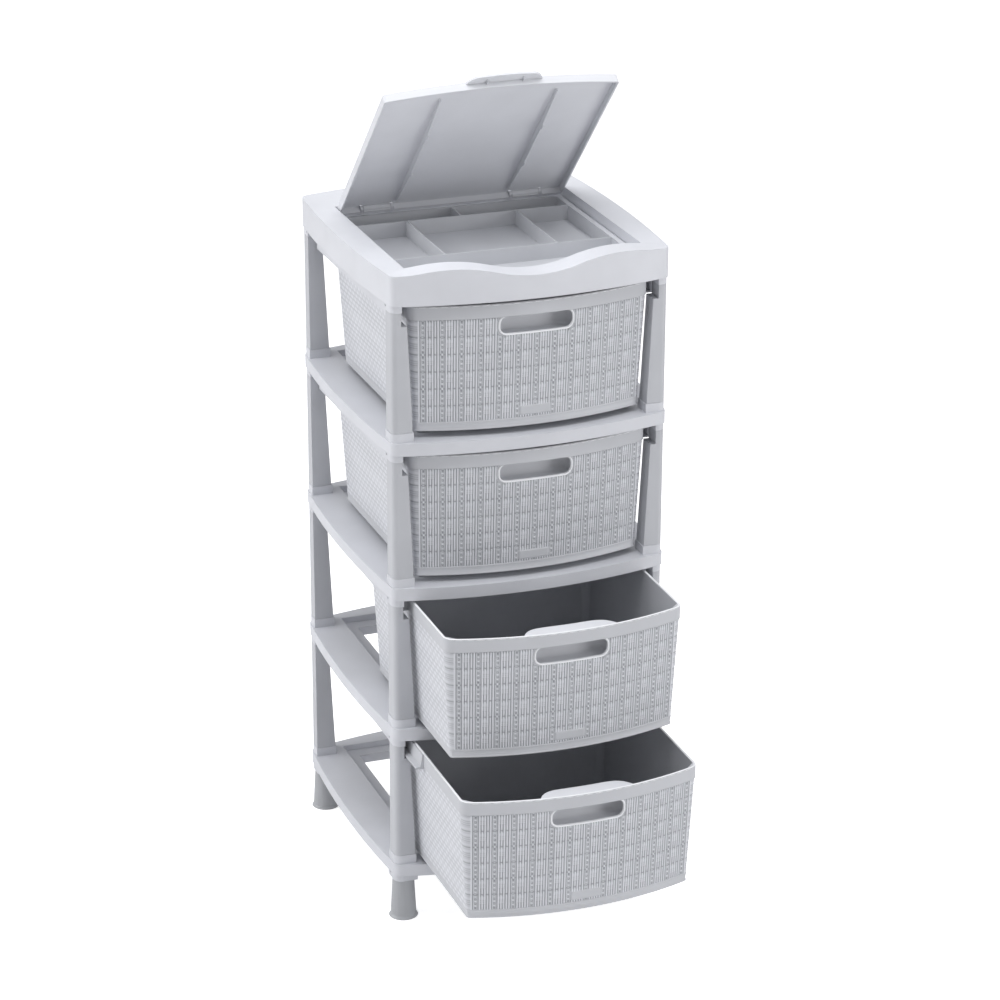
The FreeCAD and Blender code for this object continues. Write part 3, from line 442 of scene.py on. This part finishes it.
def grip_cup():
    """Closed pocket behind the handle slot, with walls of its own; its top is just under the edge."""
    half, deep, thick, squareness = 68.0, 25.0, 1.6, 6
    into_wall, between_top_and_floor, half_steps = 0.2, -30, 22
    profile = [(0.0, -5.7), (0.9, -5.7), (0.965, -5.9), (0.99, -6.5), (1.0, -7.6), (0.985, -44.0),
               (0.965, -48.0), (0.92, -50.5), (0.84, -52.0), (0.0, -54.0)]
    shares = [math.sin(math.pi / 2 * step / half_steps) for step in range(-half_steps, half_steps + 1)]
    points = []
    for layer in (0, 1):
        for share in shares:
            x = share * (half - layer * thick)
            depth = max(deep * (1 - abs(share) ** squareness) - layer * thick, 0.0)
            for part, z in profile:
                inward = thick * layer * (1 if z < between_top_and_floor else -1)
                cup_x, cup_y, cup_z = wall_point(x, z + inward, -WALL + into_wall)
                points.append((cup_x, cup_y + part * depth, cup_z))
    outer = lattice(len(shares), len(profile))
    first = len(points) // 2
    inner = [tuple(first + corner for corner in face) for face in outer]
    return points, [face[::-1] for face in outer] + inner


def bare_plate():
    """Small raised blank plate, low in the middle of the drawer's front."""
    wide, tall, proud, rim, middle = 46.0, 15.0, 1.5, -0.3, -162.0
    across, upright = 24, 10
    points = []
    for column in range(across + 1):
        for row in range(upright + 1):
            x, rise = (column / across - 0.5) * wide, (0.5 - row / upright) * tall
            at_rim = column in (0, across) or row in (0, upright)
            points.append(wall_point(x, middle + rise, rim if at_rim else proud))
    return points, lattice(across + 1, upright + 1)


def make_mesh(name, material, points, faces, heights=None):
    """Smooth mesh from points in millimetres; heights set the painted shade in the relief's hollows."""
    mesh = bpy.data.meshes.new(name)
    mesh.from_pydata([tuple(point) for point in np.asarray(points) * MM], [], faces)
    if heights is not None:
        shade = mesh.attributes.new("relief", "FLOAT", "POINT")
        shade.data.foreach_set("value", np.clip((heights - SHADE_LOW) / SHADE_SPAN, 0, 1))
    mesh.polygons.foreach_set("use_smooth", [True] * len(mesh.polygons))
    mesh.materials.append(material)
    mesh.update()
    return mesh


def put(name, mesh, body, y, z):
    """An object with that mesh, riding on a body."""
    thing = bpy.data.objects.new(name, mesh)
    thing.location = (0, y * MM, z * MM)
    bpy.context.scene.collection.objects.link(thing)
    bpy.context.view_layer.update()
    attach(thing, body)


# The bare plate and foot band take the drawer's darker finish as painted shade
PIECES = [("woven_skin", WEAVE_SHADED, woven_skin), ("bare_plate", TUB_SHADED, bare_plate),
          # The slot lip and top edge take the pale edge finish as a painted highlight
          ("slot_lip", EDGE_HIGHLIGHT, slot_lip), ("foot_band", TUB_SHADED, foot_band),
          # The grip cup takes the lid's lighter finish as painted light inside its shaded pocket
          ("grip_cup", LID_LIGHTENED, grip_cup), ("top_edge", EDGE_HIGHLIGHT, top_edge)]
meshes = {name: make_mesh(name, material, *build()) for name, material, build in PIECES}

for number, (level, out) in enumerate(zip(LEVELS, PULLED), start=1):
    for name, mesh in meshes.items():
        put("%s_%d" % (name, number), mesh, "drawer_%d" % number, SHIFT - out, level)


# Floor, background and lamps

FLOOR_GLOW = 0.72
FLOOR_REACH, FLOOR_Z = 14.0, -0.0005
SKY_LIGHT, SKY_SEEN = 0.42, 1.0
TARGET = (0.0, 0.1, 0.6)


def stage_material():
    """Pale matt floor that the camera sees as white, and that still keeps the shadow."""
    material = bpy.data.materials.new("backdrop")
    material.use_nodes = True
    nodes, links = material.node_tree.nodes, material.node_tree.links
    shader = nodes["Principled BSDF"]
    shader.inputs["Base Color"].default_value = (0.86, 0.86, 0.87, 1)
    shader.inputs["Roughness"].default_value = 0.9
    shader.inputs["Specular IOR Level"].default_value = 0.1
    path = nodes.new("ShaderNodeLightPath")
    strength = nodes.new("ShaderNodeMath")
    strength.operation = "MULTIPLY"
    strength.inputs[1].default_value = FLOOR_GLOW
    links.new(path.outputs["Is Camera Ray"], strength.inputs[0])
    glow = nodes.new("ShaderNodeEmission")
    glow.inputs["Color"].default_value = (1, 1, 1, 1)
    links.new(strength.outputs["Value"], glow.inputs["Strength"])
    total = nodes.new("ShaderNodeAddShader")
    links.new(shader.outputs["BSDF"], total.inputs[0])
    links.new(glow.outputs["Emission"], total.inputs[1])
    links.new(total.outputs["Shader"], nodes["Material Output"].inputs["Surface"])
    return material


floor_mesh = bpy.data.meshes.new("floor")
floor_corners = [(-1, -1), (1, -1), (1, 1), (-1, 1)]
floor_mesh.from_pydata([(x * FLOOR_REACH, y * FLOOR_REACH, FLOOR_Z) for x, y in floor_corners], [],
                       [(0, 1, 2, 3)])
floor_mesh.materials.append(stage_material())
floor = bpy.data.objects.new("floor", floor_mesh)
bpy.context.scene.collection.objects.link(floor)


def lamp(name, place, size, power, colour=(1, 1, 1)):
    """Rectangular lamp that faces the tower."""
    data = bpy.data.lights.new(name, "AREA")
    data.shape = "RECTANGLE"
    data.size, data.size_y = size
    data.energy = power
    data.color = colour
    thing = bpy.data.objects.new(name, data)
    thing.location = place
    thing.rotation_euler = (Vector(TARGET) - Vector(place)).to_track_quat("-Z", "Y").to_euler()
    bpy.context.scene.collection.objects.link(thing)


lamp("left_window", (-3.4, 1.0, 1.9), (2.4, 2.6), 66)
lamp("right_front_window", (3.3, -3.1, 1.1), (2.2, 2.2), 62)
lamp("overhead", (-0.2, -0.4, 3.6), (2.6, 2.6), 74, (0.97, 0.98, 1.0))

world = bpy.data.worlds.new("studio")
bpy.context.scene.world = world
world.use_nodes = True
world_nodes, world_links = world.node_tree.nodes, world.node_tree.links
sky = world_nodes["Background"]
sky.inputs["Color"].default_value = (1, 1, 1, 1)
seen = world_nodes.new("ShaderNodeLightPath")
sky_strength = world_nodes.new("ShaderNodeMapRange")
sky_strength.inputs["To Min"].default_value = SKY_LIGHT
sky_strength.inputs["To Max"].default_value = SKY_SEEN
world_links.new(seen.outputs["Is Camera Ray"], sky_strength.inputs["Value"])
world_links.new(sky_strength.outputs["Result"], sky.inputs["Strength"])


# Camera, fitted to the photograph's view

SENSOR = 36
FOCAL_WIDTHS = 3.374
CAMERA_PLACE = (-1.534, -4.144, 2.317)
YAW, PITCH, ROLL = 20.21, 21.45, 0.22


def aim(yaw, pitch, roll):
    """Rotation of a camera turned right by the yaw and down by the pitch, from looking along +Y."""
    cy, sy, cp, sp = math.cos(yaw), math.sin(yaw), math.cos(pitch), math.sin(pitch)
    forward = Vector((sy * cp, cy * cp, -sp))
    right = Vector((cy, -sy, 0))
    up = right.cross(forward)
    turned_right = right * math.cos(roll) + up * math.sin(roll)
    turned_up = up * math.cos(roll) - right * math.sin(roll)
    return Matrix((turned_right, turned_up, -forward)).transposed().to_4x4()


camera = bpy.data.objects.new("camera", bpy.data.cameras.new("camera"))
bpy.context.scene.collection.objects.link(camera)
camera.data.sensor_fit = "HORIZONTAL"
camera.data.sensor_width = SENSOR
camera.data.lens = FOCAL_WIDTHS * SENSOR
camera.data.clip_end = 100
view = aim(math.radians(YAW), math.radians(PITCH), math.radians(ROLL))
camera.matrix_world = Matrix.Translation(CAMERA_PLACE) @ view
bpy.context.scene.camera = camera
bpy.context.scene.view_settings.view_transform = "Standard"
